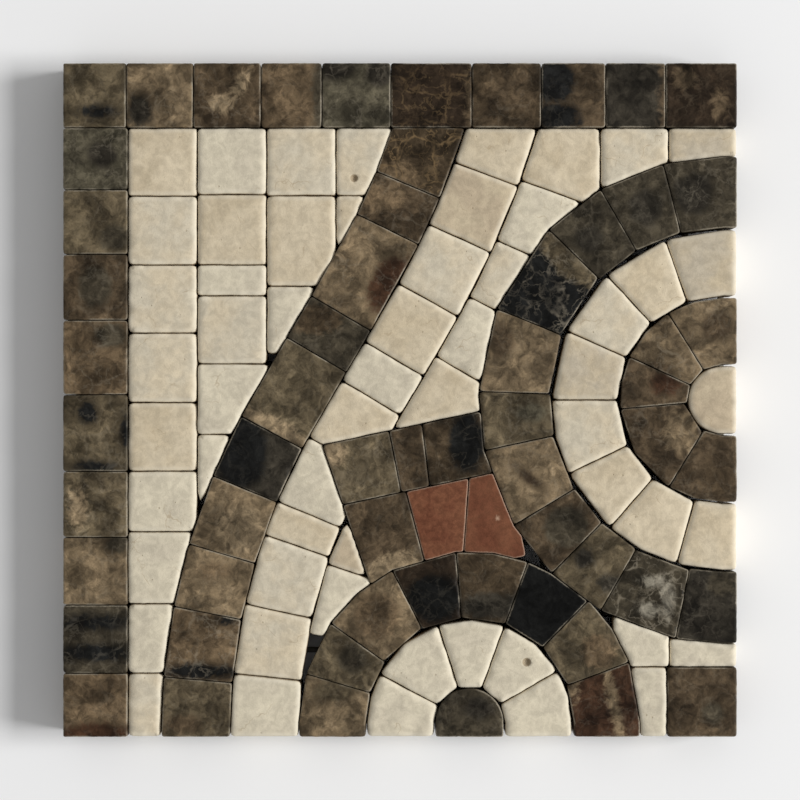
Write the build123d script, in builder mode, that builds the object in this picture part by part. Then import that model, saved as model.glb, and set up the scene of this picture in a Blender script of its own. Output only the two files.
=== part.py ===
"""Corner of a marble mosaic border: tumbled stones laid face up on a glass-fibre net.

Millimetres, +Z up. The origin is on the back, under the middle of the tile. The pattern is set out in plan from the
tile's top left corner, right and down. Angles are counted anticlockwise from the right.
"""

import itertools
import math
import os

from build123d import *

# Tile
tile_side = 120.0  # outside of the stones, left to right
tile_thickness = 10.0  # back of the net to the face of the stones
joint = 0.5  # open joint between two stones
corner_round = 0.7  # tumbled corners, seen from above
arris = 0.5  # rounding of a stone's upper edges
narrowest_stone = 2.0  # a chip narrower than this isn't laid
longest_stone = 1.5  # a course's last stone may be this many times its own length

# Net
net_thickness = 0.4
net_margin = 1.0  # least distance from the net's edge to the tile's
strand_width = 1.0
strand_pitch = 6.5

# Border courses: stone lengths with their joint
border_width = 11.6
top_lengths = (11.3, 12.0, 12.1, 10.9, 12.3, 14.5, 12.4, 11.5, 10.7, 12.3)
left_lengths = (11.1, 11.5, 11.8, 13.3, 13.7, 11.8, 12.1, 12.2, 11.1)
corner_stone_side = 12.5

# Field left of the stem: stone heights from the top course down
column_width = 12.4
column_heights = (
    (12.2, 12.3, 12.2, 12.4, 12.3, 10.8, 12.9, 12.4, 11.4),
    (11.9, 12.6, 5.5, 12.2, 12.6, 12.0),
    (12.1, 16.2, 12.1),
    (12.1, 12.1),
)

# Roundels: half discs that touch. The large one is half way down the right edge, the small one at the bottom edge.
ring_width = 12.2
large_outer_width = 13.0  # of the large roundel's outer ring
eye_radius = 6.1
roundel_bite = 0.8  # depth to which the large roundel's corners would cut into the small one
roundel_stilt = 2.4
large_roundel_drop = 60.0  # from the tile's top edge down to the centre
large_outer_spans = (14.0, 16.0, 15.5, 22.5, 20.0, 14.0, 19.0, 14.5, 14.5, 19.0, 11.0)
large_cream_spans = (19.5, 23.2, 23.3, 24.0, 25.7, 23.0, 25.9, 15.4)
large_inner_spans = (32.0, 33.0, 30.0, 53.5, 31.5)
small_outer_spans = (20.7, 25.0, 24.3, 24.5, 22.5, 27.5, 19.0, 16.5)
small_cream_spans = (30.0, 40.0, 38.0, 44.0, 28.0)
widest_straight_span = 24.0  # a wider ring stone has a bend in its outer side

# Scroll stem: an arc, a straight and a counter-arc, measured along its left edge from the foot up
stem_foot = 17.3  # from the tile's left edge
stem_width = 12.3
stem_lean = 30.5
lower_radius = 122.0
stem_straight = 25.5
upper_radius = 145.0
stem_lengths = (10.8, 12.7, 11.5, 12.9, 11.8, 16.3, 8.6, 16.7, 8.4, 15.0)

# Cream stones that follow the stem on its right
lining_width = 12.3
lining_lengths = (12.6, 14.1, 14.3, 7.1, 14.2, 12.0, 8.1, 11.7, 11.0, 11.0)
infill_width = 15.0
infill_lengths = (23.2, 16.2, 22.9, 24.3, 11.0, 9.6, 9.9)

# Bud beside the stem: two rows of stones that rise to the right, joints given at their upper and lower end
bud_tip_station = 62.3
bud_tip_offset = 15.2
bud_tilt = 12.0
bud_slant = 6.8  # lean of the bud's left side
bud_length = 31.5
bud_row = 11.2
bud_depth = 27.0
upper_row_joints = ((12.2, 12.0), (18.2, 17.2))
lower_row_joints = ((12.9, 13.7), (24.4, 19.8))

# Fillers at the tile's right edge
top_infill_length = 12.2
corner_infill_length = 12.1
infill_tip = 0.8  # width of the blunt tip of the filler between the roundels

# Worked out
tile_height = 2 * large_roundel_drop
across = tile_side + joint
down = tile_height + joint
half_across = across / 2
half_down = down / 2
clear = joint / 2
small_radius = eye_radius + 2 * ring_width
large_radius = eye_radius + 2 * ring_width + large_outer_width
edge_stilt = roundel_stilt + clear
large_centre = Vector(half_across - edge_stilt, 0)
small_drop = half_down - edge_stilt
small_reach = math.sqrt((large_radius + small_radius - roundel_bite) ** 2 - small_drop**2)
small_centre = large_centre - Vector(small_reach, small_drop)
edge_round = min(arris, 0.9 * corner_round)
quarter_turn = 90.0
half_turn = 2 * quarter_turn
lean = math.radians(stem_lean)
lower_length = lean * lower_radius
straight_end = lower_length + stem_straight
stem_end = straight_end + lean * upper_radius


def at(from_left, from_top):
    """Point of the plan, measured from the top left corner."""
    return Vector(from_left - half_across, half_down - from_top)


def box(left, top, right, bottom):
    """Corners of an upright rectangle of the plan."""
    return [at(left, top), at(right, top), at(right, bottom), at(left, bottom)]


def course(lengths, run):
    """Both ends of each stone of a course: the lengths in turn, and the last stone takes what is left."""
    ends = [0.0]
    for length in itertools.cycle(lengths):
        if run - ends[-1] < longest_stone * length:
            break
        ends.append(ends[-1] + length)
    return list(itertools.pairwise([*ends, run]))


def stem_point(station, offset):
    """Point a distance up the stem's left edge and a distance to the right of that edge."""
    lower_centre = at(stem_foot + clear + lower_radius, down)
    turn = min(station / lower_radius, lean)
    right = Vector(math.cos(turn), -math.sin(turn))
    if station <= lower_length:
        return lower_centre - right * (lower_radius - offset)
    ahead = Vector(math.sin(lean), math.cos(lean))
    run = min(station, straight_end) - lower_length
    edge = lower_centre - right * lower_radius + ahead * run
    if station <= straight_end:
        return edge + right * offset
    turn_back = lean - (station - straight_end) / upper_radius
    right_back = Vector(math.cos(turn_back), -math.sin(turn_back))
    return edge - right * upper_radius + right_back * (upper_radius + offset)


def stem_cell(station_a, station_b, offset_a, offset_b):
    """Corners of one stone of a band that follows the stem."""
    return [
        stem_point(station_a, offset_a),
        stem_point(station_a, offset_b),
        stem_point(station_b, offset_b),
        stem_point(station_b, offset_a),
    ]


def bud_point(along, down):
    """Point of the bud, along its rows from the tip and square down from them."""
    tilt = math.radians(bud_tilt)
    tip = stem_point(bud_tip_station, bud_tip_offset)
    row = Vector(math.cos(tilt), math.sin(tilt))
    return tip + row * along + Vector(row.Y, -row.X) * down


def bud_left(down):
    """Where the bud's left side is, that far down."""
    return down * math.tan(math.radians(bud_slant))


def zone(corners):
    """Polygon with half a joint added all round, which later stones keep out of."""
    with BuildSketch() as filled:
        with BuildLine():
            Polyline(*corners, close=True)
        make_face()
        offset(amount=clear, kind=Kind.INTERSECTION)
    return filled.sketch


def stem_edge(offset):
    """Line that runs beside the stem's left edge, from the foot up."""
    with BuildLine() as edge:
        lower_middle = stem_point(lower_length / 2, offset)
        upper_middle = stem_point((straight_end + stem_end) / 2, offset)
        ThreePointArc(stem_point(0, offset), lower_middle, stem_point(lower_length, offset))
        Line(stem_point(lower_length, offset), stem_point(straight_end, offset))
        ThreePointArc(stem_point(straight_end, offset), upper_middle, stem_point(stem_end, offset))
    return edge.line


def band_zone(left, right):
    """Band that follows the stem, with half a joint added on both sides."""
    near = left - clear
    far = right + clear
    with BuildSketch() as filled:
        with BuildLine():
            add(stem_edge(near))
            add(stem_edge(far))
            Line(stem_point(0, near), stem_point(0, far))
            Line(stem_point(stem_end, near), stem_point(stem_end, far))
        make_face()
    return filled.sketch


def scroll_zone():
    """The stem and all that is to the right of it."""
    foot = stem_point(0, -clear)
    head = stem_point(stem_end, -clear)
    with BuildSketch() as filled:
        with BuildLine():
            add(stem_edge(-clear))
            Polyline(head, Vector(across, head.Y), Vector(across, foot.Y), foot)
        make_face()
    return filled.sketch


def roundel(centre, radius, to_edge):
    """Half disc on its stilt, open-ended past the tile's edge."""
    with BuildSketch() as filled:
        with Locations(centre):
            Circle(radius)
        with Locations(centre + to_edge * radius):
            Rectangle(2 * radius, 2 * radius)
    return filled.sketch


def ring(centre, to_edge, inner, outer, spans):
    """Outer and inner corners of each stone of a ring, anticlockwise from the tile's edge and back to it."""
    start = math.degrees(math.atan2(to_edge.Y, to_edge.X)) + quarter_turn
    stones = []
    for first, last in course(spans, half_turn):
        narrow = inner / math.cos(math.radians((last - first) / 2))
        angles = [first, last]
        if last - first > widest_straight_span:
            angles.insert(1, (first + last) / 2)
        rays = {angle: Vector(1, 0).rotate(Axis.Z, start + angle) for angle in angles}
        outside = [centre + rays[angle] * outer for angle in angles]
        inside = [centre + rays[last] * narrow, centre + rays[first] * narrow]
        if first == 0.0:
            outside.insert(0, outside[0] + to_edge * edge_stilt)
            inside.append(inside[-1] + to_edge * edge_stilt)
        if last == half_turn:
            outside.append(outside[-1] + to_edge * edge_stilt)
            inside.insert(0, inside[0] + to_edge * edge_stilt)
        stones.append((outside, inside))
    return stones


def rim(stones):
    """Outer corners of a ring's stones, each once."""
    sides = [outside for outside, _ in stones]
    return sides[0] + [corner for side in sides[1:] for corner in side[1:]]


def outlines(cells, *laid):
    """Outline of each stone: its cell drawn in by half a joint, less what is laid already, chips left out."""
    shapes = []
    for corners in cells:
        with BuildSketch() as cut:
            with BuildLine():
                Polyline(*corners, close=True)
            make_face()
            offset(amount=-clear, kind=Kind.INTERSECTION)
            if laid:
                add(laid, mode=Mode.SUBTRACT)
        for face in cut.faces().sort_by(SortBy.AREA)[-1:]:
            rim = sum(edge.length for edge in face.edges())
            if 4 * face.area / rim >= narrowest_stone:
                shapes.append(face)
    return shapes


def lay(label, shapes):
    """Node of stones that don't touch: each outline with its corners tumbled, raised from the net to the face."""
    with BuildPart() as stones:
        with BuildSketch(Plane.XY.offset(net_thickness)):
            add(shapes)
            offset(amount=-corner_round)
            offset(amount=corner_round)
        extrude(amount=tile_thickness - net_thickness)
        fillet(stones.faces().group_by(Axis.Z)[-1].edges(), edge_round)
    stones.part.label = label
    export_step(stones.part, f"parts/{label}.step")


os.makedirs("parts", exist_ok=True)
right_edge = Vector(1, 0)
bottom_edge = Vector(0, -1)

# Rings of the roundels
inner_radius = eye_radius + ring_width
cream_radius = inner_radius + ring_width
large_rings = {
    "large_roundel_outer_ring": ring(large_centre, right_edge, cream_radius, large_radius, large_outer_spans),
    "large_roundel_cream_ring": ring(large_centre, right_edge, inner_radius, cream_radius, large_cream_spans),
    "large_roundel_inner_ring": ring(large_centre, right_edge, eye_radius, inner_radius, large_inner_spans),
}
small_rings = {
    "small_roundel_outer_ring": ring(small_centre, bottom_edge, inner_radius, small_radius, small_outer_spans),
    "small_roundel_cream_ring": ring(small_centre, bottom_edge, eye_radius, inner_radius, small_cream_spans),
}

# Zones that the pattern keeps clear, each with half a joint round it
large_zone = zone(rim(large_rings["large_roundel_outer_ring"]))
small_zone = zone(rim(small_rings["small_roundel_outer_ring"]))
stem = band_zone(0, stem_width)
lining_end = stem_width + lining_width
lining = band_zone(stem_width, lining_end)
bud_corners = [
    bud_point(0, 0),
    bud_point(bud_length, 0),
    bud_point(bud_length, bud_depth),
    bud_point(bud_left(bud_depth), bud_depth),
]
bud = zone(bud_corners)
corner_left = across - corner_stone_side
corner_top = down - corner_stone_side
corner_box = box(corner_left, corner_top, across, down)
corner = zone(corner_box)
top_infill_start = across - 2 * top_infill_length
top_infill = zone(box(top_infill_start, border_width, across, half_down))
top_border = zone(box(-across, -down, 2 * across, border_width))
left_border = zone(box(-across, -down, border_width, 2 * down))
borders = (top_border, left_border)
roundels = (large_zone, small_zone)

# Border courses
top_cells = [box(first, 0, last, border_width) for first, last in course(top_lengths, across)]
lay("top_border_stones", outlines(top_cells))
left_run = course(left_lengths, down - border_width)
left_cells = [box(0, border_width + first, border_width, border_width + last) for first, last in left_run]
lay("left_border_stones", outlines(left_cells))
lay("inner_corner_stone", outlines([corner_box], *roundels))

# Roundels
for label, stones in large_rings.items():
    lay(label, outlines([outside + inside for outside, inside in stones], *borders))
for label, stones in small_rings.items():
    lay(label, outlines([outside + inside for outside, inside in stones], *borders, large_zone))
eyes = (("large_roundel_eye", large_centre, right_edge), ("small_roundel_eye", small_centre, bottom_edge))
for label, centre, to_edge in eyes:
    with BuildSketch() as eye:
        add(roundel(centre, eye_radius - clear, to_edge))
        Rectangle(tile_side, tile_height, mode=Mode.INTERSECT)
    lay(label, eye.faces())

# Scroll stem
stem_cells = [stem_cell(first, last, 0, stem_width) for first, last in course(stem_lengths, stem_end)]
lay("stem_stones", outlines(stem_cells, *borders, *roundels))

# Bud
bud_rows = ((upper_row_joints, 0, bud_row), (lower_row_joints, bud_row, bud_depth))
bud_cells = []
for joints, upper, lower in bud_rows:
    sides = [(bud_left(upper), bud_left(lower)), *joints, (bud_length, bud_length)]
    for left, right in itertools.pairwise(sides):
        upper_side = [bud_point(left[0], upper), bud_point(right[0], upper)]
        bud_cells.append(upper_side + [bud_point(right[1], lower), bud_point(left[1], lower)])
frame_count = len(upper_row_joints) + 2
before_bud = (*borders, *roundels, stem)
lay("bud_frame_stones", outlines(bud_cells[:frame_count], *before_bud))
lay("bud_heart_stones", outlines(bud_cells[frame_count:], *before_bud))

# Cream stones beside the stem
before_lining = (*before_bud, bud, corner)
lining_run = course(lining_lengths, stem_end)
lining_cells = [stem_cell(first, last, stem_width, lining_end) for first, last in lining_run]
lay("stem_lining_stones", outlines(lining_cells, *before_lining))
infill_run = course(infill_lengths, stem_end)
infill_cells = [stem_cell(first, last, lining_end, lining_end + infill_width) for first, last in infill_run]
lay("scroll_infill_stones", outlines(infill_cells, *before_lining, lining, top_infill))

# Cream stones at the right edge
top_middle = across - top_infill_length
top_starts = ((top_infill_start, top_middle), (top_middle, across))
top_infill_cells = [box(first, border_width, last, half_down) for first, last in top_starts]
lay("top_infill_stones", outlines(top_infill_cells, *before_bud))
between = (large_centre - small_centre).normalized()
touch = small_centre + between * small_radius
infill_gap = math.sqrt(2 * (infill_tip + joint + roundel_bite) / (1 / small_radius + 1 / large_radius))
fill_start = touch.X + half_across + between.Y * infill_gap
fill_top = half_down - touch.Y
fill_split = across - corner_infill_length
fill_cells = [
    box(fill_start, fill_top, fill_split, corner_top),
    box(fill_split, fill_top, across, corner_top),
    box(fill_start, corner_top, corner_left, down),
]
lay("corner_infill_stones", outlines(fill_cells, *roundels))

# Cream field left of the stem
field_cells = []
for column, heights in enumerate(column_heights):
    left = border_width + column * column_width
    for first, last in course(heights, down - border_width):
        field_cells.append(box(left, border_width + first, left + column_width, border_width + last))
lay("field_stones", outlines(field_cells, scroll_zone()))

# Glass-fibre net: flat strands that cross, fused, with a strand through the middle both ways
columns = 2 * int((tile_side / 2 - net_margin) / strand_pitch)
rows = 2 * int((tile_height / 2 - net_margin) / strand_pitch)
mesh_opening = strand_pitch - strand_width
with BuildPart() as net:
    with BuildSketch():
        Rectangle(columns * strand_pitch + strand_width, rows * strand_pitch + strand_width)
        with GridLocations(strand_pitch, strand_pitch, columns, rows):
            Rectangle(mesh_opening, mesh_opening, mode=Mode.SUBTRACT)
    extrude(amount=net_thickness)
net.part.label = "backing_net"
export_step(net.part, "parts/backing_net.step")
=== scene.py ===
"""Corner of a marble mosaic border, lying on a pale floor and seen from straight above.

Every stone is rebuilt from the plan outline of its CAD solid as a tumbled stone: worn arrises, chips,
a face that is not quite flat or level. Lengths are in millimetres up to the point where a mesh is made,
which is in metres, as the floor, the light and the camera are.
"""

import math

import bmesh
import bpy
import numpy as np
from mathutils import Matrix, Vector
from mathutils.geometry import delaunay_2d_cdt


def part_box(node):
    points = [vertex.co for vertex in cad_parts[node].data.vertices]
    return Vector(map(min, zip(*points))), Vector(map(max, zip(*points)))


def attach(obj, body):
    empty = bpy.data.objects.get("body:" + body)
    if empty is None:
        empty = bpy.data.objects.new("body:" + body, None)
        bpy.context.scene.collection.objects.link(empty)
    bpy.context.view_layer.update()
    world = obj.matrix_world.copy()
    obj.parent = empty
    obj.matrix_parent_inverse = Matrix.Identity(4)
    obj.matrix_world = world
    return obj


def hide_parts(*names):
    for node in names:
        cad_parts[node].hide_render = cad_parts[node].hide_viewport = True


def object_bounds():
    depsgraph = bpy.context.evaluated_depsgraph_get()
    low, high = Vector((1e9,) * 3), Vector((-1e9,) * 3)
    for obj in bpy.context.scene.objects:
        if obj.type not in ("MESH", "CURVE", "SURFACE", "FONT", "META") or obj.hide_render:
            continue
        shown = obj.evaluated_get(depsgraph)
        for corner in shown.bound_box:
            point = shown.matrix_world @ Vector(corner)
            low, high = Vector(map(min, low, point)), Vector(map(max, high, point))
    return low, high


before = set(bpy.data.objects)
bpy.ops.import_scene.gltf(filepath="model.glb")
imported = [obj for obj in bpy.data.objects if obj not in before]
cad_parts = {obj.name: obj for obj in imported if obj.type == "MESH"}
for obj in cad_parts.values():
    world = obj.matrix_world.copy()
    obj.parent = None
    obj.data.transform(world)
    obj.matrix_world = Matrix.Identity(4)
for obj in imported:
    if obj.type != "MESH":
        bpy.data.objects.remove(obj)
cad_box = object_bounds()

MM = 0.001
WELD = 0.001 * MM
net_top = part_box("backing_net")[1].z / MM
face_top = cad_box[1].z / MM
tile_edge = cad_box[1].x / MM

# Stone meshes
TRACE_STEP = 0.1  # at which a CAD outline is traced
TRACE_SPAN = 6  # steps over which its bend is taken
CORNER_BEND = 0.7  # turn for each millimetre from which an outline counts as a corner
OUTLINE_STEP = 0.42
INSETS = (0.05, 0.14, 0.28, 0.46, 0.68, 0.95, 1.28)  # rows of points along a stone's rim
INSET_SLACK = 0.03  # a row's point this much nearer another side is left out
FACE_STEP = 0.62  # between points of the face
ROW_STEP = 0.87  # between rows of the face, in shares of that
FACE_STRAY = 0.13  # by which points of the face stray
FACE_RIM = 1.6  # width that the rows take up
SIDE_DEPTHS = (0.2, 0.6, 1.5, 5.0)  # rows of points down a stone's side, below its rim
FLARE_DEPTH = 0.4  # below this the sides stand out, so that joints aren't bottomless
BACK_ROUND = 0.25
SIDE_ROUGH = 0.03
WOBBLE_WAVES = (2, 6)  # waves round an outline, from one number up to below the other
NIBBLE_WAVES = (8, 40)
ARRIS_WAVES = (3, 14)
SIDE_WAVES = (4, 20)
WAVE_SPREAD = 1.5  # what a sum of waves is divided by, to stay between about -1 and 1
LEAST_ARRIS = 0.12
ARRIS_UNEVEN = 0.3  # share by which a stone's arris varies
BLUNT_REACH = 0.8  # along the rim from a corner that is worn more
CHIP_DEPTH = (0.2, 0.6)
CHIP_REACH = (0.4, 1.0)
FACE_WAVES = 5  # that make a face uneven
WAVE_TURN = (0.4, 1.5)  # radians of a wave for each millimetre
WAVE_START = 6.3  # highest phase of a wave, about a full turn
PIT_DEPTH = 0.9  # in shares of a pit's radius
PIT_RINGS = (0.3, 0.55, 0.8, 1.05)  # rings of points in and round a pit, in shares of its radius
PIT_SPOKES = 14
WITHIN_RIM = 1  # the kind of triangulation that leaves out what lies outside the rim
SAME_POINT = 1e-5
BLOCK = 400  # half size of the block of marble that stones are cut from
TONE_STRAY = 0.02  # share by which stones of one tone differ
SHINE = 0.08  # honed and dusty stone hardly mirrors
OUTSIDE = 0.5  # closer than this to the tile's edge, a side is on the outside and not in a joint
NO_MARK = -5.0  # field value far from any mark

# Palette, as it looks on screen
BROWNS = {
    "jet": (15, 15, 14),
    "black": (22, 22, 21),
    "ash": (120, 114, 101),
    "charcoal": (45, 41, 34),
    "dusk": (42, 33, 24),
    "smoke": (59, 53, 42),
    "bark": (64, 53, 39),
    "umber": (72, 60, 45),
    "moss": (72, 67, 54),
    "olive": (83, 73, 56),
    "brown": (92, 77, 58),
    "khaki": (106, 91, 70),
    "tan": (122, 106, 83),
    "russet": (58, 40, 28),
}
CREAMS = {
    "grey": (200, 190, 169),
    "ivory": (206, 192, 166),
    "light": (210, 200, 177),
    "honey": (193, 178, 151),
    "sand": (183, 167, 142),
    "dull": (184, 173, 153),
}
REDS = {"brick": (104, 63, 45), "rust": (115, 74, 53)}


def linear(colour):
    """Scene-linear colour of a screen colour with channels up to 255."""
    share = np.array(colour) / 255
    return np.where(share <= 0.04045, share / 12.92, ((share + 0.055) / 1.055) ** 2.4)


def stone(tone, patch=None, veins=0.0, marks=(), pits=(), gold=0.0):
    """Look of one stone. A mark is a patch-coloured oval, which may be turned by some degrees, and a pit
    a hollow, both in shares of the stone's half size. Veins are pale, or golden with gold at 1."""
    return {"tone": tone, "patch": patch or tone, "veins": veins, "marks": marks, "pits": pits, "gold": gold}


# Looks of the dark stones
TOP_BORDER = [
    stone("olive", "black", 0.1, [(0.1, -0.5, 0.55, 0.2)]),
    stone("khaki", "charcoal", 0.15, [(-0.6, -0.45, 0.36, 0.5)]),
    stone("umber", "tan", 0.15, [(-0.15, -0.25, 0.3, 0.24), (0.4, 0.3, 0.13, 0.4, -30)]),
    stone("brown", "smoke", 0.1, [(1.0, 0, 0.3, 1.2)]),
    stone("moss", "charcoal", 0.2, [(-0.6, 0.9, 0.5, 0.4), (0.7, 0.7, 0.4, 0.4)]),
    stone("dusk", "umber", 0.4, [(0.98, -0.2, 0.12, 0.9)], gold=1.0),
    stone("bark", "umber", 0.1, [(0.2, 0.3, 0.6, 0.5)]),
    stone("umber", "black", 0.06, [(-0.6, 0.45, 0.6, 0.7), (-0.5, -0.7, 0.7, 0.45)]),
    stone("charcoal", "umber", 0.0, [(0.95, 0, 0.12, 1.2)]),
    stone("dusk", "umber", 0.12, [(-0.5, 0.5, 0.3, 0.3), (0.5, -0.3, 0.2, 0.4)], gold=0.5),
]
LEFT_BORDER = [
    stone("moss", "charcoal", 0.2, [(0.2, 0.1, 0.4, 0.4)]),
    stone("olive", "smoke", 0.1, [(0.6, -0.5, 0.4, 0.4)]),
    stone("umber", "smoke", 0.1, [(0, 0, 0.5, 0.6)]),
    stone("brown", "smoke", 0.2, [(0.5, 0.6, 0.5, 0.3)]),
    stone("olive", "black", 0.15, [(-0.2, 0.5, 0.3, 0.28), (0.98, 0, 0.2, 0.4), (0, -0.9, 0.7, 0.14)]),
    stone("olive", "tan", 0.25, [(-0.55, -0.1, 0.28, 0.5)]),
    stone("khaki", "smoke", 0.15, [(0.7, 0.8, 0.4, 0.25)]),
    stone("smoke", "black", 0.15, [(0, 0.5, 1.1, 0.2), (0, -0.4, 1.1, 0.24)]),
    stone("brown", "russet", 0.1, [(0, -1.0, 1.2, 0.4)]),
]
LARGE_OUTER = [
    stone("smoke", "charcoal", 0.2, [(-0.2, 0, 0.5, 0.5)]),
    stone("smoke", "charcoal", 0.1, [(0.1, 0, 0.4, 0.4)]),
    stone("smoke", "charcoal", 0.1, [(-0.1, -0.1, 0.3, 0.3)]),
    stone("black", "olive", 0.4, [(0.42, 0.5, 0.75, 0.3, -43)]),
    stone("khaki", "umber", 0.1, [(-0.5, 0.3, 0.3, 0.4)]),
    stone("olive", "moss", 0.15, [(0.4, 0.3, 0.4, 0.3)]),
    stone("khaki", "dusk", 0.15, [(0, 0.05, 0.1, 0.36, 50)]),
    stone("umber", "smoke", 0.1, [(0.2, 0.1, 0.5, 0.5)]),
    stone("olive", "charcoal", 0.15, [(-0.25, 0.2, 0.22, 0.2), (0.4, -0.4, 0.3, 0.2)]),
    stone("smoke", "ash", 0.5, [(0.5, -0.1, 0.14, 0.36), (0.1, -0.35, 0.24, 0.12), (0.2, 0.3, 0.25, 0.1)]),
    stone("charcoal", "smoke", 0.1, [(0.5, 0.6, 0.4, 0.3)]),
]
LARGE_INNER = [
    stone("khaki", "umber", 0.15, [(0.4, 0.2, 0.4, 0.4)]),
    stone("khaki", "umber", 0.2, [(-0.4, -0.7, 0.6, 0.35)]),
    stone("umber", "russet", 0.1, [(0.3, 0, 0.4, 0.4)]),
    stone("umber", "khaki", 0.15, [(0.5, 0.3, 0.4, 0.5)]),
    stone("umber", "bark", 0.1, [(0.3, -0.3, 0.5, 0.5)]),
]
SMALL_OUTER = [
    stone("russet", "khaki", 0.1, [(0.25, 0, 0.1, 1.3, 12), (-0.9, 0.6, 0.2, 0.5)]),
    stone("olive", "brown", 0.1, [(0.3, -0.2, 0.4, 0.4)]),
    stone("jet"),
    stone("bark", "charcoal", 0.1, [(0, -0.5, 0.9, 0.35)]),
    stone("dusk", "jet", 0.05, [(0.2, -0.2, 0.8, 0.6)]),
    stone("khaki", "brown", 0.1, [(0, 0, 0.5, 0.5)]),
    stone("olive", "smoke", 0.1, [(0.2, 0, 0.4, 0.4)]),
    stone("khaki", "olive", 0.1, [(0, 0.5, 0.6, 0.3)]),
]
STEM = [
    stone("olive", "umber", 0.1, [(-0.4, -0.6, 0.5, 0.3)]),
    stone("brown", "black", 0.3, [(0, -0.72, 1.1, 0.2), (0.7, 0.7, 0.3, 0.15)]),
    stone("khaki", "brown", 0.1, [(0, 0.3, 0.4, 0.2)]),
    stone("khaki", "tan", 0.1, [(0.2, -0.2, 0.5, 0.5)]),
    stone("charcoal", "black", 0.04, [(-0.4, 0.2, 0.6, 0.9)]),
    stone("olive", "tan", 0.1, [(-0.5, -0.8, 0.9, 0.35, -25)]),
    stone("smoke", "bark", 0.1, [(-0.3, 0.4, 0.6, 0.4)]),
    stone("khaki", "russet", 0.2, [(0.45, -0.2, 0.32, 0.5, -30)]),
    stone("umber", "brown", 0.15, [(-0.4, 0.3, 0.5, 0.4)]),
    stone("bark", "brown", 0.8, [(-0.5, -0.5, 0.4, 0.5)], gold=1.0),
]
BUD_FRAME = [
    stone("olive", "tan", 0.2, [(-0.7, 0.4, 0.25, 0.3)]),
    stone("umber", "bark", 0.1, [(0.5, 0, 0.4, 0.8)]),
    stone("bark", "black", 0.1, [(0.3, 0.2, 0.5, 0.8)]),
    stone("umber", "tan", 0.1, [(0.2, -0.75, 0.7, 0.35, 20)]),
]
SMALL_EYE = [stone("smoke", "charcoal", 0.1, [(0.3, 0.2, 0.4, 0.4)])]
CORNER_STONE = [stone("umber", "smoke", 0.1, [(0.3, -0.3, 0.3, 0.3)])]

# Looks of the red and pale stones
BUD_HEART = [stone("brick", "rust"), stone("rust", "brick", 0, [(0.1, -0.05, 0.06, 0.05)])]


def pale(letters, pits=None):
    """Looks of a run of pale stones, by the first letters of their tones. Pits by place in the run."""
    tones = {"g": "grey", "i": "ivory", "l": "light", "h": "honey", "s": "sand", "d": "dull"}
    second = {"g": "ivory", "i": "honey", "l": "grey", "h": "ivory", "s": "honey", "d": "honey"}
    pits = pits or {}
    return [
        stone(tones[letter], second[letter], pits=pits.get(place, ()))
        for place, letter in enumerate(letters)
    ]


# The field's letters run down its columns, from left to right
FIELD = pale("igggilllg" "lilgll" "gil" "gi", {18: [(-0.35, -0.5, 0.14)]})
LARGE_CREAM = pale("digdgiii")
SMALL_CREAM = pale("lllll", {1: [(0.2, 0.1, 0.12)]})
LINING = pale("lggililigsi")
INFILL = pale("lsilgli")
TOP_INFILL = pale("gd")
CORNER_INFILL = pale("lll")
LARGE_EYE = pale("s")


def stone_outlines(node):
    """Plan outline of each stone of a CAD node, anticlockwise."""
    shape = bmesh.new()
    shape.from_mesh(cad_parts[node].data)
    bmesh.ops.remove_doubles(shape, verts=shape.verts, dist=WELD)
    lowest = min(vertex.co.z for vertex in shape.verts)
    back = {face for face in shape.faces if all(vertex.co.z < lowest + WELD for vertex in face.verts)}
    beside = {}
    for edge in shape.edges:
        if sum(face in back for face in edge.link_faces) == 1:
            for here, there in (edge.verts, reversed(edge.verts)):
                beside.setdefault(here, []).append(there)
    loops = []
    while beside:
        loop = [next(iter(beside))]
        while True:
            ahead = [vertex for vertex in beside.pop(loop[-1]) if vertex in beside]
            if not ahead:
                break
            loop.append(ahead[0])
        points = np.array([vertex.co.xy for vertex in loop]) / MM
        turn = np.roll(points, -1, axis=0)
        area = (points[:, 0] * turn[:, 1] - turn[:, 0] * points[:, 1]).sum()
        loops.append(points if area > 0 else points[::-1])
    shape.free()
    return loops


def resample(points, step):
    """Points at equal steps along a closed line."""
    closed = np.vstack([points, points[:1]])
    run = np.concatenate([[0], np.cumsum(np.linalg.norm(np.diff(closed, axis=0), axis=1))])
    count = round(run[-1] / step)
    stops = np.arange(count) * run[-1] / count
    return np.column_stack([np.interp(stops, run, closed[:, axis]) for axis in (0, 1)])


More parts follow.
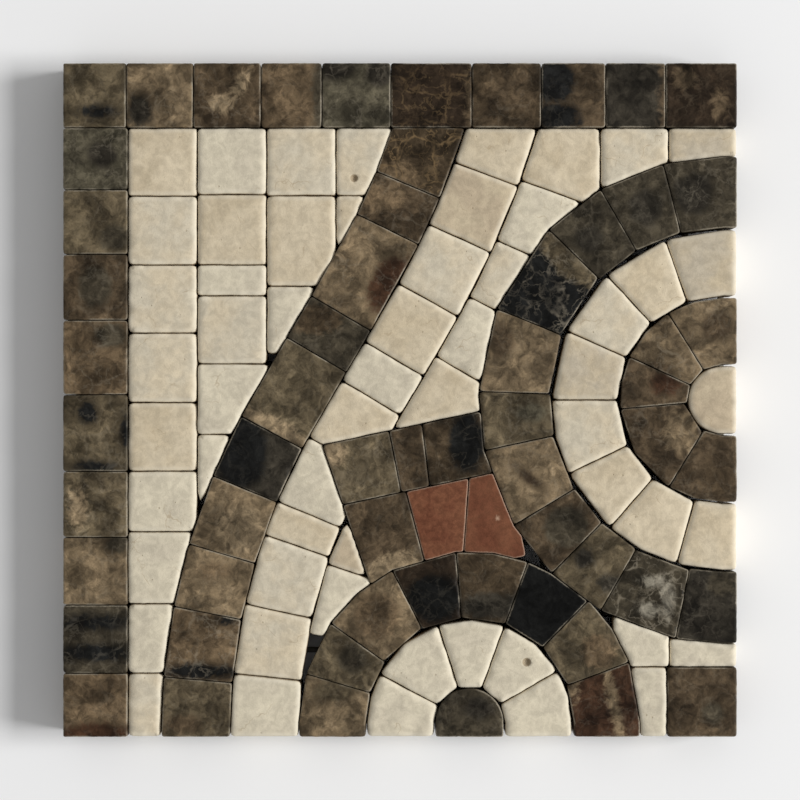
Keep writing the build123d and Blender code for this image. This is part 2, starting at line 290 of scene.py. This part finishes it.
def sharpen(outline, radius):
    """Outline with its rounded corners drawn out to a smaller radius, and the drawn-out corners."""
    trace = resample(outline, TRACE_STEP)
    count = len(trace)
    before, after = np.roll(trace, TRACE_SPAN, axis=0), np.roll(trace, -TRACE_SPAN, axis=0)
    coming, going = trace - before, after - trace
    turn = np.arctan2(coming[:, 0] * going[:, 1] - coming[:, 1] * going[:, 0], (coming * going).sum(1))
    bent = turn > CORNER_BEND * TRACE_SPAN * TRACE_STEP
    starts = [k for k in range(count) if bent[k] and not bent[k - 1]]
    points, corners = [], []
    for place, start in enumerate(starts):
        end = next(k for k in range(start, start + count) if not bent[(k + 1) % count])
        enter, leave = trace[start], trace[end % count]
        into = coming[start] / np.linalg.norm(coming[start])
        out = going[end % count] / np.linalg.norm(going[end % count])
        cross = into[0] * out[1] - into[1] * out[0]
        gap = leave - enter
        tip = enter + into * (gap[0] * out[1] - gap[1] * out[0]) / cross
        cut = min(radius * math.tan(math.acos(np.clip(into @ out, -1, 1)) / 2), np.linalg.norm(tip - enter))
        first, last = tip - into * cut, tip + out * cut
        bend = (first + last + 2 * tip) / 4
        points += [first, bend, last]
        corners.append(tip)
        stop = starts[(place + 1) % len(starts)]
        run = trace[[k % count for k in range(end, stop + (count if stop <= end else 0) + 1)]]
        length = np.linalg.norm(np.diff(run, axis=0), axis=1).sum()
        pieces = max(1, round(length / OUTLINE_STEP))
        points += [run[round(k * (len(run) - 1) / pieces)] for k in range(pieces + 1)]
    return np.array(points), np.array(corners)


def inward(outline):
    """Unit vectors into an anticlockwise outline, at each of its points."""
    along = np.roll(outline, -1, axis=0) - np.roll(outline, 1, axis=0)
    along /= np.linalg.norm(along, axis=1)[:, None]
    return np.column_stack([-along[:, 1], along[:, 0]])


def ring_noise(rng, count, waves):
    """Smooth noise round a closed line, between about -1 and 1."""
    turn = np.linspace(0, 2 * np.pi, count, endpoint=False)
    total = np.zeros(count)
    for wave in range(*waves):
        total += rng.normal() * np.cos(wave * turn + rng.uniform(0, 2 * np.pi))
    return total / math.sqrt(len(range(*waves))) / WAVE_SPREAD


def to_outline(points, outline):
    """Distance of each point to a closed outline, and where along it the nearest place is, as an index."""
    edge = np.roll(outline, -1, axis=0) - outline
    reach = points[:, None] - outline[None]
    share = np.clip((reach * edge).sum(2) / (edge**2).sum(1), 0, 1)
    gap = np.linalg.norm(reach - share[..., None] * edge, axis=2)
    nearest = gap.argmin(1)
    return gap.min(1), nearest + share[np.arange(len(points)), nearest]


def inside(points, outline):
    """Which points lie in a closed outline."""
    x, y = points[:, :1], points[:, 1:]
    x_a, y_a = outline[:, 0], outline[:, 1]
    x_b, y_b = np.roll(outline, -1, axis=0).T
    rise = np.where(y_b == y_a, 1e-9, y_b - y_a)
    crosses = ((y_a > y) != (y_b > y)) & (x < (x_b - x_a) * (y - y_a) / rise + x_a)
    return crosses.sum(1) % 2 == 1


def face_points(outline, rng):
    """Points of a stone's face: rows along its rim, then an uneven net."""
    into = inward(outline)
    rows = []
    for inset in INSETS:
        row = outline + into * inset
        gap, _ = to_outline(row, outline)
        rows.append(row[(gap > inset - INSET_SLACK) & inside(row, outline)])
    low, high = outline.min(0), outline.max(0)
    xs = np.arange(low[0], high[0], FACE_STEP)
    ys = np.arange(low[1], high[1], FACE_STEP * ROW_STEP)
    net = np.array([(x + FACE_STEP / 2 * (k % 2), y) for k, y in enumerate(ys) for x in xs])
    net = net + rng.uniform(-FACE_STRAY, FACE_STRAY, net.shape)
    gap, _ = to_outline(net, outline)
    return np.vstack([*rows, net[(gap > FACE_RIM) & inside(net, outline)]])


def mark_field(points, look, middle, half):
    """How far inside the nearest mark each point is, negative outside."""
    field = np.full(len(points), NO_MARK)
    pits = [(x, y, size, size * half[0] / half[1]) for x, y, size in look["pits"]]
    for x, y, wide, high, *turn in [*look["marks"], *pits]:
        angle = math.radians(turn[0] if turn else 0)
        reach = points - middle - half * (x, y)
        across = reach[:, 0] * math.cos(angle) + reach[:, 1] * math.sin(angle)
        up = reach[:, 1] * math.cos(angle) - reach[:, 0] * math.sin(angle)
        radii = half * (wide, high)
        field = np.maximum(field, (1 - np.hypot(across / radii[0], up / radii[1])) * radii.min())
    return field


def tumbled_stone(outline, look, wear, rng):
    """Mesh of one stone: vertices, faces, and per vertex the inset from its outline, the depth below its face
    and how far it is inside a mark."""
    outline, corners = sharpen(outline, rng.uniform(*wear["corner"]))
    count = len(outline)
    into = inward(outline)
    wobble = ring_noise(rng, count, WOBBLE_WAVES) * wear["wobble"]
    wobble = wobble + ring_noise(rng, count, NIBBLE_WAVES) * wear["nibble"]
    outline = outline + into * (wobble - wear["swell"])[:, None]
    low, high = outline.min(0), outline.max(0)
    middle, half = (low + high) / 2, (high - low) / 2

    # Worn arris, more so at the corners, with a few chips
    radius = rng.uniform(*wear["arris"]) * (1 + ARRIS_UNEVEN * ring_noise(rng, count, ARRIS_WAVES))
    for tip in corners:
        away = np.linalg.norm(outline - tip, axis=1)
        radius = radius + rng.uniform(0, wear["blunt"]) * np.exp(-((away / BLUNT_REACH) ** 2))
    for _ in range(rng.poisson(wear["chips"])):
        away = np.linalg.norm(outline - outline[rng.integers(count)], axis=1)
        radius = radius + rng.uniform(*CHIP_DEPTH) * np.exp(-((away / rng.uniform(*CHIP_REACH)) ** 2))
    radius = np.clip(radius, LEAST_ARRIS, FACE_RIM)

    # Face
    extra = [face_points(outline, rng)]
    hollows = [(middle + half * (x, y), size * half[0]) for x, y, size in look["pits"]]
    for centre, size in hollows:
        turns = np.linspace(0, 2 * np.pi, PIT_SPOKES, endpoint=False)
        spokes = np.column_stack([np.cos(turns), np.sin(turns)])
        extra += [centre + spokes * size * share for share in PIT_RINGS]
    points = np.vstack([outline, *extra])
    rim = list(range(count))
    flat = [Vector(point) for point in points]
    plan, _, faces, origin, _, _ = delaunay_2d_cdt(flat, [], [rim], WITHIN_RIM, SAME_POINT)
    plan = np.array([tuple(p) for p in plan])
    place_of = {source: place for place, sources in enumerate(origin) for source in sources}
    rim = [place_of[k] for k in rim]
    inset, nearest = to_outline(plan, outline)
    inset[rim] = 0
    arris = np.interp(nearest, np.arange(count + 1), np.append(radius, radius[0]))
    worn = np.clip(1 - inset / arris, 0, 1)
    height = -wear["fall"] * arris * (1 - np.sqrt(1 - worn**2))
    reach = plan - middle
    height = height + reach @ rng.normal(0, wear["tilt"], 2) - wear["dome"] * ((reach / half) ** 2).sum(1)
    for _ in range(FACE_WAVES):
        wave = rng.normal(0, 1, 2)
        wave = wave / np.linalg.norm(wave) * rng.uniform(*WAVE_TURN)
        height = height + wear["wave"] * np.sin(plan @ wave + rng.uniform(0, WAVE_START))
    for centre, size in hollows:
        share = np.linalg.norm(plan - centre, axis=1) / size
        height = height - PIT_DEPTH * size * np.clip(1 - share**2, 0, 1)
    top = wear["top"] - rng.uniform(0, wear["sunk"])
    height = np.minimum(top + height, wear["top"])
    vertices = [np.column_stack([plan, height])]
    faces = [list(face) for face in faces]

    # Sides and back
    rings = [rim]
    first = len(plan)
    start = vertices[0][rim]
    into = inward(start[:, :2])
    back = np.full(count, wear["back"])
    levels = [(start[:, 2] - depth, -wear["flare"] if depth > FLARE_DEPTH else 0) for depth in SIDE_DEPTHS]
    levels += [(back + BACK_ROUND, 0), (back, BACK_ROUND)]
    for level, step_in in levels:
        ring = start.copy()
        ring[:, 2] = level
        rough = step_in + np.abs(ring_noise(rng, count, SIDE_WAVES)) * SIDE_ROUGH
        ring[:, :2] += into * rough[:, None]
        vertices.append(ring)
        rings.append(list(range(first, first + count)))
        first += count
    for upper, lower in zip(rings, rings[1:]):
        for k in range(count):
            after = (k + 1) % count
            faces.append([upper[after], upper[k], lower[k], lower[after]])
    faces.append(rings[-1][::-1])
    vertices = np.vstack(vertices)
    inset = np.append(inset, np.zeros(len(vertices) - len(inset)))
    depth = top - vertices[:, 2]
    return vertices, faces, inset, depth, mark_field(vertices[:, :2], look, middle, half)


def centre_of(outline):
    return (outline.min(0) + outline.max(0)) / 2


def random_turn(rng):
    """Rotation to any direction."""
    turn, _ = np.linalg.qr(rng.normal(size=(3, 3)))
    return turn


def add_piece(name, mesh, material, slot, node):
    """Puts a mesh in the scene in place of a CAD node."""
    mesh.shade_smooth()
    mesh.materials.append(material)
    piece = bpy.data.objects.new(name, mesh)
    bpy.context.scene.collection.objects.link(piece)
    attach(piece, "root")
    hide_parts(node)


def lay_stones(node, looks, palette, slot, material, wear, order):
    """Replaces a CAD node by its tumbled stones, one mesh."""
    outlines = sorted(stone_outlines(node), key=order)
    if len(outlines) != len(looks):
        raise ValueError(f"{node} has {len(outlines)} stones and {len(looks)} looks")
    vertices, faces, first = [], [], 0
    names = ("inset", "depth", "joint", "mark", "veins", "gold", "grain", "tone", "patch")
    columns = {name: [] for name in names}
    for outline, look in zip(outlines, looks):
        rng = np.random.default_rng(abs(int(1000 * outline.sum())))
        points, polygons, inset, depth, mark = tumbled_stone(outline, look, wear, rng)
        vertices.append(points)
        faces += [[first + corner for corner in polygon] for polygon in polygons]
        count = len(points)
        first += count
        columns["inset"].append(inset)
        columns["depth"].append(depth)
        columns["joint"].append(np.abs(points[:, :2]).max(1) < tile_edge - OUTSIDE)
        columns["mark"].append(mark)
        columns["veins"].append(np.full(count, look["veins"]))
        columns["gold"].append(np.full(count, look["gold"]))
        columns["grain"].append(points @ random_turn(rng) + rng.uniform(-BLOCK, BLOCK, 3))
        for name in ("tone", "patch"):
            colour = linear(palette[look[name]]) * (1 + rng.normal(0, TONE_STRAY))
            columns[name].append(np.tile([*colour, 1], (count, 1)))
    mesh = bpy.data.meshes.new(node + "_tumbled")
    mesh.from_pydata((np.vstack(vertices) * MM).tolist(), [], faces)
    for name, rows in columns.items():
        values = np.concatenate(rows).astype(np.float32)
        kind = {1: "FLOAT", 3: "FLOAT_VECTOR", 4: "FLOAT_COLOR"}[1 if values.ndim == 1 else values.shape[1]]
        key = {"FLOAT": "value", "FLOAT_VECTOR": "vector", "FLOAT_COLOR": "color"}[kind]
        mesh.attributes.new(name, kind, "POINT").data.foreach_set(key, values.ravel())
    add_piece(node + "_tumbled", mesh, material, slot, node)


class Graph:
    """Nodes of one material. Each call adds a node and returns its output."""

    def __init__(self, name):
        self.material = bpy.data.materials.new(name)
        self.material.use_nodes = True
        self.tree = self.material.node_tree
        self.shader = self.tree.nodes["Principled BSDF"]

    def add(self, kind, inputs=(), output=0, **settings):
        node = self.tree.nodes.new("ShaderNode" + kind)
        for name, value in settings.items():
            setattr(node, name, value)
        for socket, value in inputs:
            self.put(node.inputs[socket], value)
        return node.outputs[output]

    def put(self, socket, value):
        if isinstance(value, bpy.types.NodeSocket):
            self.tree.links.new(value, socket)
        else:
            socket.default_value = value

    def attribute(self, name, output="Fac"):
        return self.add("Attribute", output=output, attribute_name=name)

    def place(self):
        """Place in the block that a stone was cut from, in millimetres."""
        return self.attribute("grain", "Vector")

    def vector(self, operation, first, second=None, scale=None):
        inputs = [(0, first)]
        if second is not None:
            inputs.append((1, second))
        if scale is not None:
            inputs.append(("Scale", scale))
        return self.add("VectorMath", inputs, operation=operation)

    def noise(self, place, scale, detail=3.0, rough=0.55, output="Fac"):
        inputs = [("Vector", place), ("Scale", scale), ("Detail", detail), ("Roughness", rough)]
        return self.add("TexNoise", inputs, output)

    def bend(self, place, scale, amount):
        """The place moved about by noise, so that what follows it looks grown and not drawn."""
        push = self.vector("SUBTRACT", self.noise(place, scale, 2.0, output="Color"), (0.5, 0.5, 0.5))
        return self.vector("ADD", place, self.vector("SCALE", push, scale=amount))

    def cells(self, place, scale, feature="DISTANCE_TO_EDGE", output="Distance"):
        return self.add("TexVoronoi", [("Vector", place), ("Scale", scale)], output, feature=feature)

    def span(self, value, low, high, to_low=0.0, to_high=1.0):
        """The value's way from low to high as a smooth step between two results."""
        inputs = [("Value", value), (1, low), (2, high), (3, to_low), (4, to_high)]
        return self.add("MapRange", inputs, interpolation_type="SMOOTHSTEP")

    def math(self, operation, first, second=0.0):
        return self.add("Math", [(0, first), (1, second)], operation=operation)

    def mix(self, share, first, second, blend="MIX"):
        settings = {"data_type": "RGBA", "blend_type": blend}
        return self.add("Mix", [(0, share), (6, first), (7, second)], 2, **settings)

    def blur(self, noise, amount):
        """Noise about zero, of that size."""
        node = self.math("MULTIPLY_ADD", noise, amount)
        node.node.inputs[2].default_value = -amount / 2
        return node

    def vein(self, place, scale, width):
        """Jagged lines between the pieces of a broken bed, wider where the width noise is high."""
        half = self.span(width, 0.4, 0.66, 0.0, 0.035)
        gap = self.math("SUBTRACT", self.cells(place, scale), half)
        return self.span(gap, -0.025, 0.03, 1.0, 0.0)

    def shade(self, colour, *factors):
        for factor in factors:
            colour = self.mix(1.0, colour, factor, "MULTIPLY")
        return colour

    def finish(self, colour, roughness, height, relief):
        bump = self.add("Bump", [("Strength", 0.5), ("Distance", relief * MM), ("Height", height)])
        self.put(self.shader.inputs["Base Color"], colour)
        self.put(self.shader.inputs["Roughness"], roughness)
        self.put(self.shader.inputs["Normal"], bump)
        self.shader.inputs["Specular IOR Level"].default_value = SHINE
        return self.material


def screen(red, green, blue):
    return (*linear((red, green, blue)), 1.0)


PALE_VEIN = screen(152, 142, 124)
GOLD_VEIN = screen(124, 102, 72)
DUST = screen(158, 149, 132)
HAIR_VEIN = screen(158, 138, 108)
PIT_SHADE = screen(150, 132, 104)
# Rim colour of the cream stones: partly worn arrises, partly a painted highlight for the light on their
# rounded edges.
WORN_CREAM_AND_HIGHLIGHT = screen(238, 230, 211)
HOLLOW_SHADE = screen(140, 122, 96)
SOIL = screen(170, 148, 116)
FLECK = screen(206, 176, 150)
CHALK = screen(176, 150, 130)
# Net colours: a dark grey yarn, far darker than glass fibre, as painted shade for the net seen down the deep
# joints.
DARK_YARN_SHADE = screen(124, 120, 110)
DARK_GLUED_YARN_SHADE = screen(98, 92, 80)


def brown_marble():
    """Dark breccia marble: clouded and mottled, patches with torn edges, jagged veins, dusty arrises."""
    graph = Graph("brown_marble")
    place = graph.place()
    bent = graph.bend(graph.bend(place, 0.22, 4.0), 0.8, 1.2)
    cloud = graph.noise(bent, 0.2, 4.0)
    mottle = graph.noise(bent, 0.7, 6.0, 0.62)
    speck = graph.noise(place, 3.5, 3.0, 0.6)
    mark = graph.math("ADD", graph.attribute("mark"), graph.blur(mottle, 3.2))
    colour = graph.mix(
        graph.span(mark, -0.9, 0.6), graph.attribute("tone", "Color"), graph.attribute("patch", "Color")
    )
    colour = graph.shade(
        colour,
        graph.span(cloud, 0.3, 0.7, 0.44, 1.56),
        graph.span(mottle, 0.3, 0.7, 0.58, 1.42),
        graph.span(speck, 0.3, 0.7, 0.9, 1.1),
    )
    lit = graph.span(graph.noise(bent, 0.36, 5.0, 0.6), 0.54, 0.74, 1.0, 1.7)
    colour = graph.shade(colour, lit)
    wander = graph.bend(graph.bend(place, 0.25, 2.4), 1.3, 0.5)
    where = graph.span(graph.noise(place, 0.24, 2.0), 0.4, 0.6, 0.25, 1.0)
    line = graph.math("MULTIPLY", graph.vein(wander, 0.16, mottle), where)
    wisp = graph.math("ABSOLUTE", graph.math("SUBTRACT", graph.noise(wander, 0.33, 3.0), 0.5))
    wisp = graph.math("MULTIPLY", graph.span(wisp, 0.0, 0.03, 0.7, 0.0), where)
    line = graph.math("MULTIPLY", graph.math("MAXIMUM", line, wisp), graph.attribute("veins"))
    colour = graph.mix(line, colour, graph.mix(graph.attribute("gold"), PALE_VEIN, GOLD_VEIN))
    inset = graph.math("ADD", graph.attribute("inset"), graph.blur(speck, 0.4))
    dusty = graph.span(graph.noise(place, 0.2, 2.0), 0.42, 0.62, 0.05, 0.85)
    dusty = graph.math("MULTIPLY", dusty, graph.span(graph.attribute("depth"), 0.4, 1.0, 1.0, 0.0))
    rim = graph.math("MULTIPLY", graph.span(inset, 0.0, 0.3, 1.0, 0.0), dusty)
    colour = graph.mix(rim, colour, DUST)
    return graph.finish(colour, graph.span(mottle, 0.3, 0.7, 0.42, 0.58), speck, 0.04)


def cream_marble():
    """Pale limestone marble: soft clouds, hair veins, small pits, pale arrises that are partly worn and
    partly a painted highlight, soiled joints.
    """
    graph = Graph("cream_marble")
    place = graph.place()
    bent = graph.bend(place, 0.3, 3.0)
    cloud = graph.noise(bent, 0.16)
    mottle = graph.noise(bent, 0.75, 5.0, 0.6)
    speck = graph.noise(place, 4.0, 3.0, 0.6)
    colour = graph.mix(
        graph.span(cloud, 0.35, 0.7), graph.attribute("tone", "Color"), graph.attribute("patch", "Color")
    )
    colour = graph.shade(
        colour,
        graph.span(mottle, 0.3, 0.7, 0.88, 1.11),
        graph.span(speck, 0.3, 0.7, 0.96, 1.04),
    )
    hair = graph.span(graph.cells(graph.bend(place, 0.35, 4.0), 0.1), 0.0, 0.012, 1.0, 0.0)
    where = graph.span(graph.noise(place, 0.2, 2.0), 0.5, 0.68, 0.0, 0.5)
    colour = graph.mix(graph.math("MULTIPLY", hair, where), colour, HAIR_VEIN)
    pit_gap = graph.cells(place, 0.85, "F1")
    pit_pick = graph.cells(place, 0.85, "F1", "Color")
    pit_size = graph.span(graph.add("SeparateColor", [(0, pit_pick)]), 0.8, 1.0, 0.0, 0.16)
    pit = graph.span(graph.math("SUBTRACT", pit_gap, pit_size), -0.05, 0.02, 1.0, 0.0)
    colour = graph.mix(graph.math("MULTIPLY", pit, 0.4), colour, PIT_SHADE)
    inset = graph.math("ADD", graph.attribute("inset"), graph.blur(speck, 0.5))
    # Pale rim along the arrises: partly wear, partly a painted highlight of the light that catches the
    # rounded edges.
    colour = graph.mix(graph.span(inset, 0.0, 1.1, 0.42, 0.0), colour, WORN_CREAM_AND_HIGHLIGHT)
    colour = graph.mix(graph.span(graph.attribute("mark"), -0.15, 0.1, 0.0, 0.7), colour, HOLLOW_SHADE)
    deep = graph.span(graph.attribute("depth"), 0.7, 1.3, 0.0, 0.85)
    colour = graph.mix(graph.math("MULTIPLY", deep, graph.attribute("joint")), colour, SOIL)
    height = graph.math("SUBTRACT", speck, graph.math("MULTIPLY", pit, 2.0))
    return graph.finish(colour, graph.span(mottle, 0.3, 0.7, 0.5, 0.62), height, 0.06)


def red_marble():
    """Brick-red marble: mottled, with pale flecks and chalky edges."""
    graph = Graph("red_marble")
    place = graph.place()
    bent = graph.bend(place, 0.5, 2.0)
    cloud = graph.noise(bent, 0.25)
    mottle = graph.noise(bent, 1.0, 5.0, 0.62)
    speck = graph.noise(place, 4.0, 3.0, 0.6)
    colour = graph.mix(
        graph.span(cloud, 0.35, 0.65), graph.attribute("tone", "Color"), graph.attribute("patch", "Color")
    )
    colour = graph.shade(
        colour,
        graph.span(mottle, 0.3, 0.7, 0.8, 1.2),
        graph.span(speck, 0.3, 0.7, 0.92, 1.08),
    )
    mark = graph.math("ADD", graph.attribute("mark"), graph.blur(mottle, 1.2))
    colour = graph.mix(graph.span(mark, -0.35, 0.3, 0.0, 0.6), colour, FLECK)
    inset = graph.math("ADD", graph.attribute("inset"), graph.blur(speck, 0.4))
    shallow = graph.span(graph.attribute("depth"), 0.4, 1.0, 1.0, 0.0)
    chalky = graph.math("MULTIPLY", graph.span(inset, 0.0, 0.28, 0.7, 0.0), shallow)
    colour = graph.mix(chalky, colour, CHALK)
    return graph.finish(colour, graph.span(mottle, 0.3, 0.7, 0.45, 0.6), speck, 0.05)


def glass_net_painted_dark():
    """Glass-fibre yarn with a dull glue coat, painted dark grey as painted shade so that the net seen down
    the joints reads as shade.
    """
    graph = Graph("glass_fibre_net")
    here = graph.vector("SCALE", graph.add("TexCoord", output="Object"), scale=1 / MM)
    fibre = graph.noise(here, 7.0, 3.0, 0.6)
    glue = graph.noise(here, 0.5)
    colour = graph.mix(graph.span(glue, 0.4, 0.65), DARK_YARN_SHADE, DARK_GLUED_YARN_SHADE)
    colour = graph.shade(colour, graph.span(fibre, 0.3, 0.7, 0.9, 1.06))
    return graph.finish(colour, graph.span(glue, 0.4, 0.65, 0.6, 0.4), fibre, 0.05)


# The stones' wear: dark stones are laid closer and keep sharper arrises. It is in millimetres, but fall
# is an arris's depth in shares of its width, chips a mean number and tilt a slope.
DARK = {
    "corner": (0.15, 0.35), "swell": 0.17, "wobble": 0.02, "nibble": 0.02, "flare": 0.04,
    "arris": (0.25, 0.5), "fall": 0.6, "blunt": 0.3, "chips": 1.2,
    "tilt": 0.003, "dome": 0.02, "wave": 0.01, "sunk": 0.12,
    "top": face_top, "back": net_top,
}
PALE = {
    "corner": (0.3, 0.7), "swell": 0.13, "wobble": 0.04, "nibble": 0.02, "flare": 0.09,
    "arris": (1.0, 1.5), "fall": 0.52, "blunt": 0.4, "chips": 1.6,
    "tilt": 0.005, "dome": 0.05, "wave": 0.016, "sunk": 0.22,
    "top": face_top, "back": net_top,
}


def roundel_centre(eye, side):
    """Centre of a roundel, from its eye, a half disc that runs on to the tile's edge at that side."""
    low, high = (np.array(corner.xy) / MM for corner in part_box(eye))
    middle = (low + high) / 2
    if side == "right":
        return np.array([low[0] + (high[1] - low[1]) / 2, middle[1]])
    return np.array([middle[0], high[1] - (high[0] - low[0]) / 2])


large_centre = roundel_centre("large_roundel_eye", "right")
small_centre = roundel_centre("small_roundel_eye", "bottom")


def around(centre, start):
    """Order of ring stones, anticlockwise about a centre from a start angle in degrees."""
    def angle(outline):
        reach = centre_of(outline) - centre
        return (math.degrees(math.atan2(reach[1], reach[0])) - start) % 360
    return angle


def rightwards(outline):
    return centre_of(outline)[0]


def upwards(outline):
    return centre_of(outline)[1]


def downwards(outline):
    return -centre_of(outline)[1]


def by_column(outline):
    """Columns of the field have a common left side."""
    return round(outline[:, 0].min()), downwards(outline)


bud_low, bud_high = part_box("bud_frame_stones")
bud_middle = (bud_low.y + bud_high.y) / 2 / MM


def by_row(outline):
    """The bud's upper row, then the stone below it."""
    return upwards(outline) < bud_middle, rightwards(outline)


brown = (BROWNS, "brown_marble", brown_marble(), DARK)
cream = (CREAMS, "cream_marble", cream_marble(), PALE)
red = (REDS, "red_marble", red_marble(), DARK)
COURSES = [
    ("top_border_stones", TOP_BORDER, brown, rightwards),
    ("left_border_stones", LEFT_BORDER, brown, downwards),
    ("inner_corner_stone", CORNER_STONE, brown, rightwards),
    ("large_roundel_outer_ring", LARGE_OUTER, brown, around(large_centre, 80)),
    ("large_roundel_inner_ring", LARGE_INNER, brown, around(large_centre, 60)),
    ("small_roundel_outer_ring", SMALL_OUTER, brown, around(small_centre, -20)),
    ("small_roundel_eye", SMALL_EYE, brown, rightwards),
    ("stem_stones", STEM, brown, upwards),
    ("bud_frame_stones", BUD_FRAME, brown, by_row),
    ("bud_heart_stones", BUD_HEART, red, rightwards),
    ("field_stones", FIELD, cream, by_column),
    ("large_roundel_cream_ring", LARGE_CREAM, cream, around(large_centre, 70)),
    ("large_roundel_eye", LARGE_EYE, cream, rightwards),
    ("small_roundel_cream_ring", SMALL_CREAM, cream, around(small_centre, -20)),
    ("stem_lining_stones", LINING, cream, upwards),
    ("scroll_infill_stones", INFILL, cream, upwards),
    ("top_infill_stones", TOP_INFILL, cream, rightwards),
    ("corner_infill_stones", CORNER_INFILL, cream, rightwards),
]
for node, looks, (palette, slot, material, wear), order in COURSES:
    lay_stones(node, looks, palette, slot, material, wear, order)


def woven_net():
    """The net as woven yarns: flat oval strands that pass over and under each other, in all as thick as
    the CAD net."""
    low, high = (np.array(corner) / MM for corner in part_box("backing_net"))
    strands = 19  # each way
    width = 1.0
    shortened = 0.05  # each end of a strand
    yarn_share = 0.3  # half a strand's height, in shares of the net's thickness
    sides = 10
    pitch_steps = 8
    pitch = (high[0] - low[0] - width) / (strands - 1)
    thick = high[2] - low[2]
    yarn = yarn_share * thick
    lift = thick / 2 - yarn
    steps = pitch_steps * (strands - 1)
    along = np.linspace(low[0] + shortened, high[0] - shortened, steps + 1)
    turns = np.linspace(0, 2 * np.pi, sides, endpoint=False)
    vertices, faces = [], []
    for direction in (0, 1):
        for strand in range(strands):
            offset = low[1 - direction] + width / 2 + strand * pitch
            phase = np.pi * (strand + direction)
            wave = np.cos((along - low[0] - width / 2) / pitch * np.pi + phase)
            middle = low[2] + thick / 2 + lift * wave
            first = len(vertices)
            for k in range(steps + 1):
                for turn in turns:
                    across = offset + width / 2 * math.cos(turn)
                    up = middle[k] + yarn * math.sin(turn)
                    flat = (along[k], across) if direction == 0 else (across, along[k])
                    vertices.append((*flat, up))
            for k in range(steps):
                for j in range(sides):
                    a, b = first + k * sides + j, first + k * sides + (j + 1) % sides
                    quad = [a, b, b + sides, a + sides]
                    faces.append(quad[::-1] if direction == 0 else quad)
            ends = [list(range(first, first + sides)), list(range(len(vertices) - sides, len(vertices)))]
            faces.append(ends[0] if direction == 0 else ends[0][::-1])
            faces.append(ends[1][::-1] if direction == 0 else ends[1])
    mesh = bpy.data.meshes.new("backing_net_woven")
    mesh.from_pydata((np.array(vertices) * MM).tolist(), [], faces)
    add_piece("backing_net_woven", mesh, glass_net_painted_dark(), "glass_fibre_net", "backing_net")


woven_net()

# Floor
FLOOR_REACH = 3.0
FLOOR_WHITE = 0.9
floor_mesh = bpy.data.meshes.new("floor")
floor_corners = [(x * FLOOR_REACH, y * FLOOR_REACH, 0) for x, y in ((-1, -1), (1, -1), (1, 1), (-1, 1))]
floor_mesh.from_pydata(floor_corners, [], [(0, 1, 2, 3)])
floor = bpy.data.objects.new("floor", floor_mesh)
bpy.context.scene.collection.objects.link(floor)
floor_paint = bpy.data.materials.new("floor_paint")
floor_paint.use_nodes = True
floor_shader = floor_paint.node_tree.nodes["Principled BSDF"]
floor_shader.inputs["Base Color"].default_value = (FLOOR_WHITE, FLOOR_WHITE, FLOOR_WHITE, 1)
floor_shader.inputs["Roughness"].default_value = 0.9
floor_shader.inputs["Specular IOR Level"].default_value = 0.1
floor_mesh.materials.append(floor_paint)

# Light: a soft key from the right, and an even sky
KEY_POWER = 92.0
KEY_SIZE = 1.2
KEY_PLACE = (2.46, 0.0, 1.68)
SKY = 0.38
key_data = bpy.data.lights.new("key", "AREA")
key_data.shape = "SQUARE"
key_data.size = KEY_SIZE
key_data.energy = KEY_POWER
key = bpy.data.objects.new("key", key_data)
key.location = KEY_PLACE
key.rotation_euler = (-key.location).to_track_quat("-Z", "Y").to_euler()
bpy.context.scene.collection.objects.link(key)
world = bpy.data.worlds.new("sky")
world.use_nodes = True
world.node_tree.nodes["Background"].inputs["Color"].default_value = (1, 1, 1, 1)
world.node_tree.nodes["Background"].inputs["Strength"].default_value = SKY
bpy.context.scene.world = world

# Camera, straight above the tile with its top edge away
LENS = 120.0
SENSOR = 36.0
FILL = 0.84  # share of the picture's side that the tile takes up
camera_data = bpy.data.cameras.new("camera")
camera_data.lens = LENS
camera_data.sensor_width = SENSOR
camera = bpy.data.objects.new("camera", camera_data)
tile_side = cad_box[1].x - cad_box[0].x
camera.location = (0, 0, cad_box[1].z + tile_side / FILL * LENS / SENSOR)
bpy.context.scene.collection.objects.link(camera)
bpy.context.scene.camera = camera
bpy.context.scene.view_settings.view_transform = "Standard"
